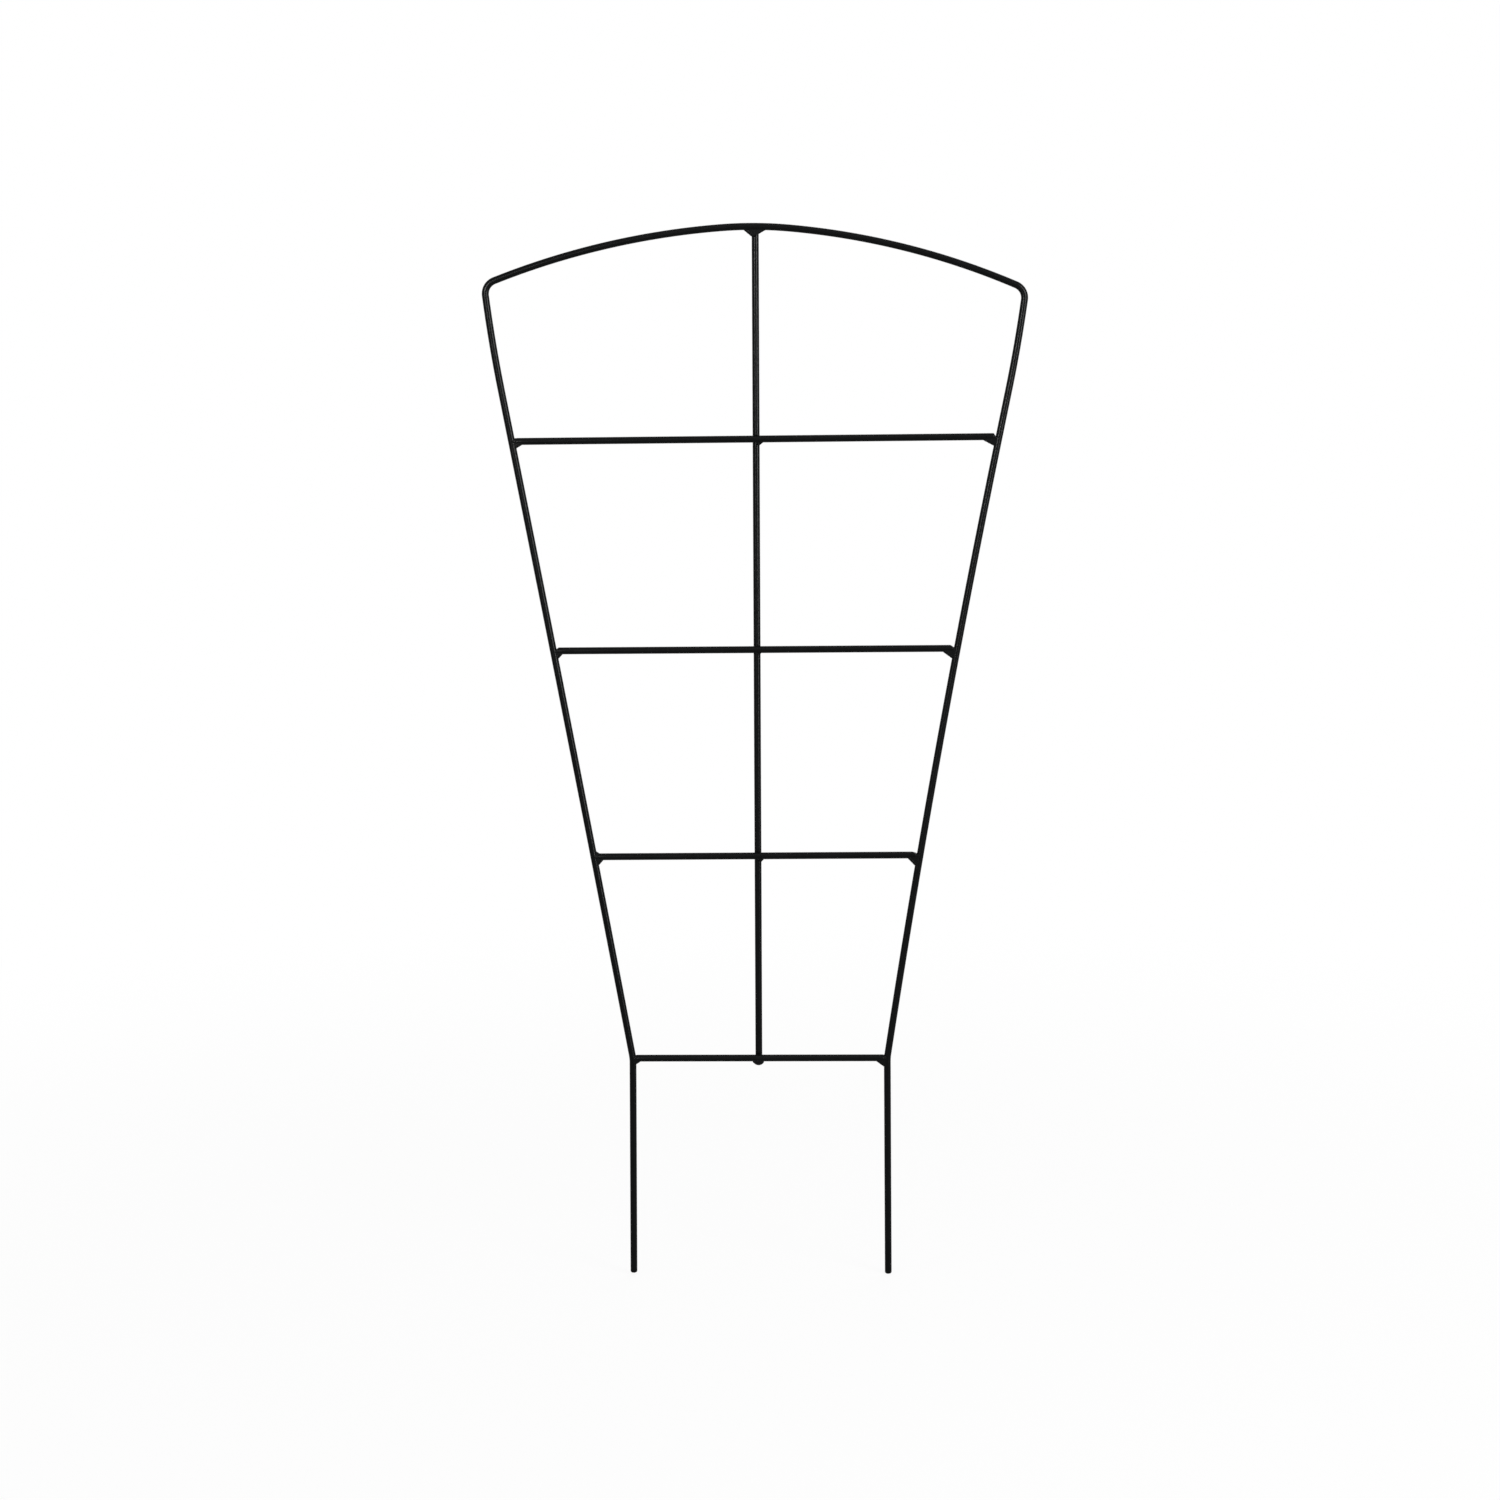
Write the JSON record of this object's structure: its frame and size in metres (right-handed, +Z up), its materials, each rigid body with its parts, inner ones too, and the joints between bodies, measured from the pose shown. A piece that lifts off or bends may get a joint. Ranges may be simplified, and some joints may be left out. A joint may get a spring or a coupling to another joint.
{
  "type": "plant trellis",
  "caption": "Fan-shaped plant trellis of black-coated round steel wire: a hoop with straight legs, flaring rails and a shallow arch, with crossbars and a middle upright welded in.",
  "frame": {"origin": "midway between the legs on the centreline of the bottom crossbar, which lies at the soil line when the legs are pushed home", "axes": "+Z up along the upright, +X to the right seen from the front, +Y to the back, where the upright lies behind the crossbars"},
  "size_m": [0.3833, 0.0103, 0.7645],
  "materials": {
    "wire_coat": "near-black satin powder coat over round steel wire, with a faint orange-peel texture",
    "weld_coat": "the same near-black satin powder coat over rippled weld beads"
  },
  "bodies": {
    "root": {"hoop": "wire_coat", "upright": "wire_coat", "bottom_crossbar": "wire_coat", "bottom_left_weld": "weld_coat", "bottom_right_weld": "weld_coat", "bottom_centre_weld": "weld_coat", "lower_crossbar": "wire_coat", "lower_left_weld": "weld_coat", "lower_right_weld": "weld_coat", "lower_centre_weld": "weld_coat", "upper_crossbar": "wire_coat", "upper_left_weld": "weld_coat", "upper_right_weld": "weld_coat", "upper_centre_weld": "weld_coat", "top_crossbar": "wire_coat", "top_left_weld": "weld_coat", "top_right_weld": "weld_coat", "top_centre_weld": "weld_coat", "arch_weld": "weld_coat"}
  },
  "joints": []
}
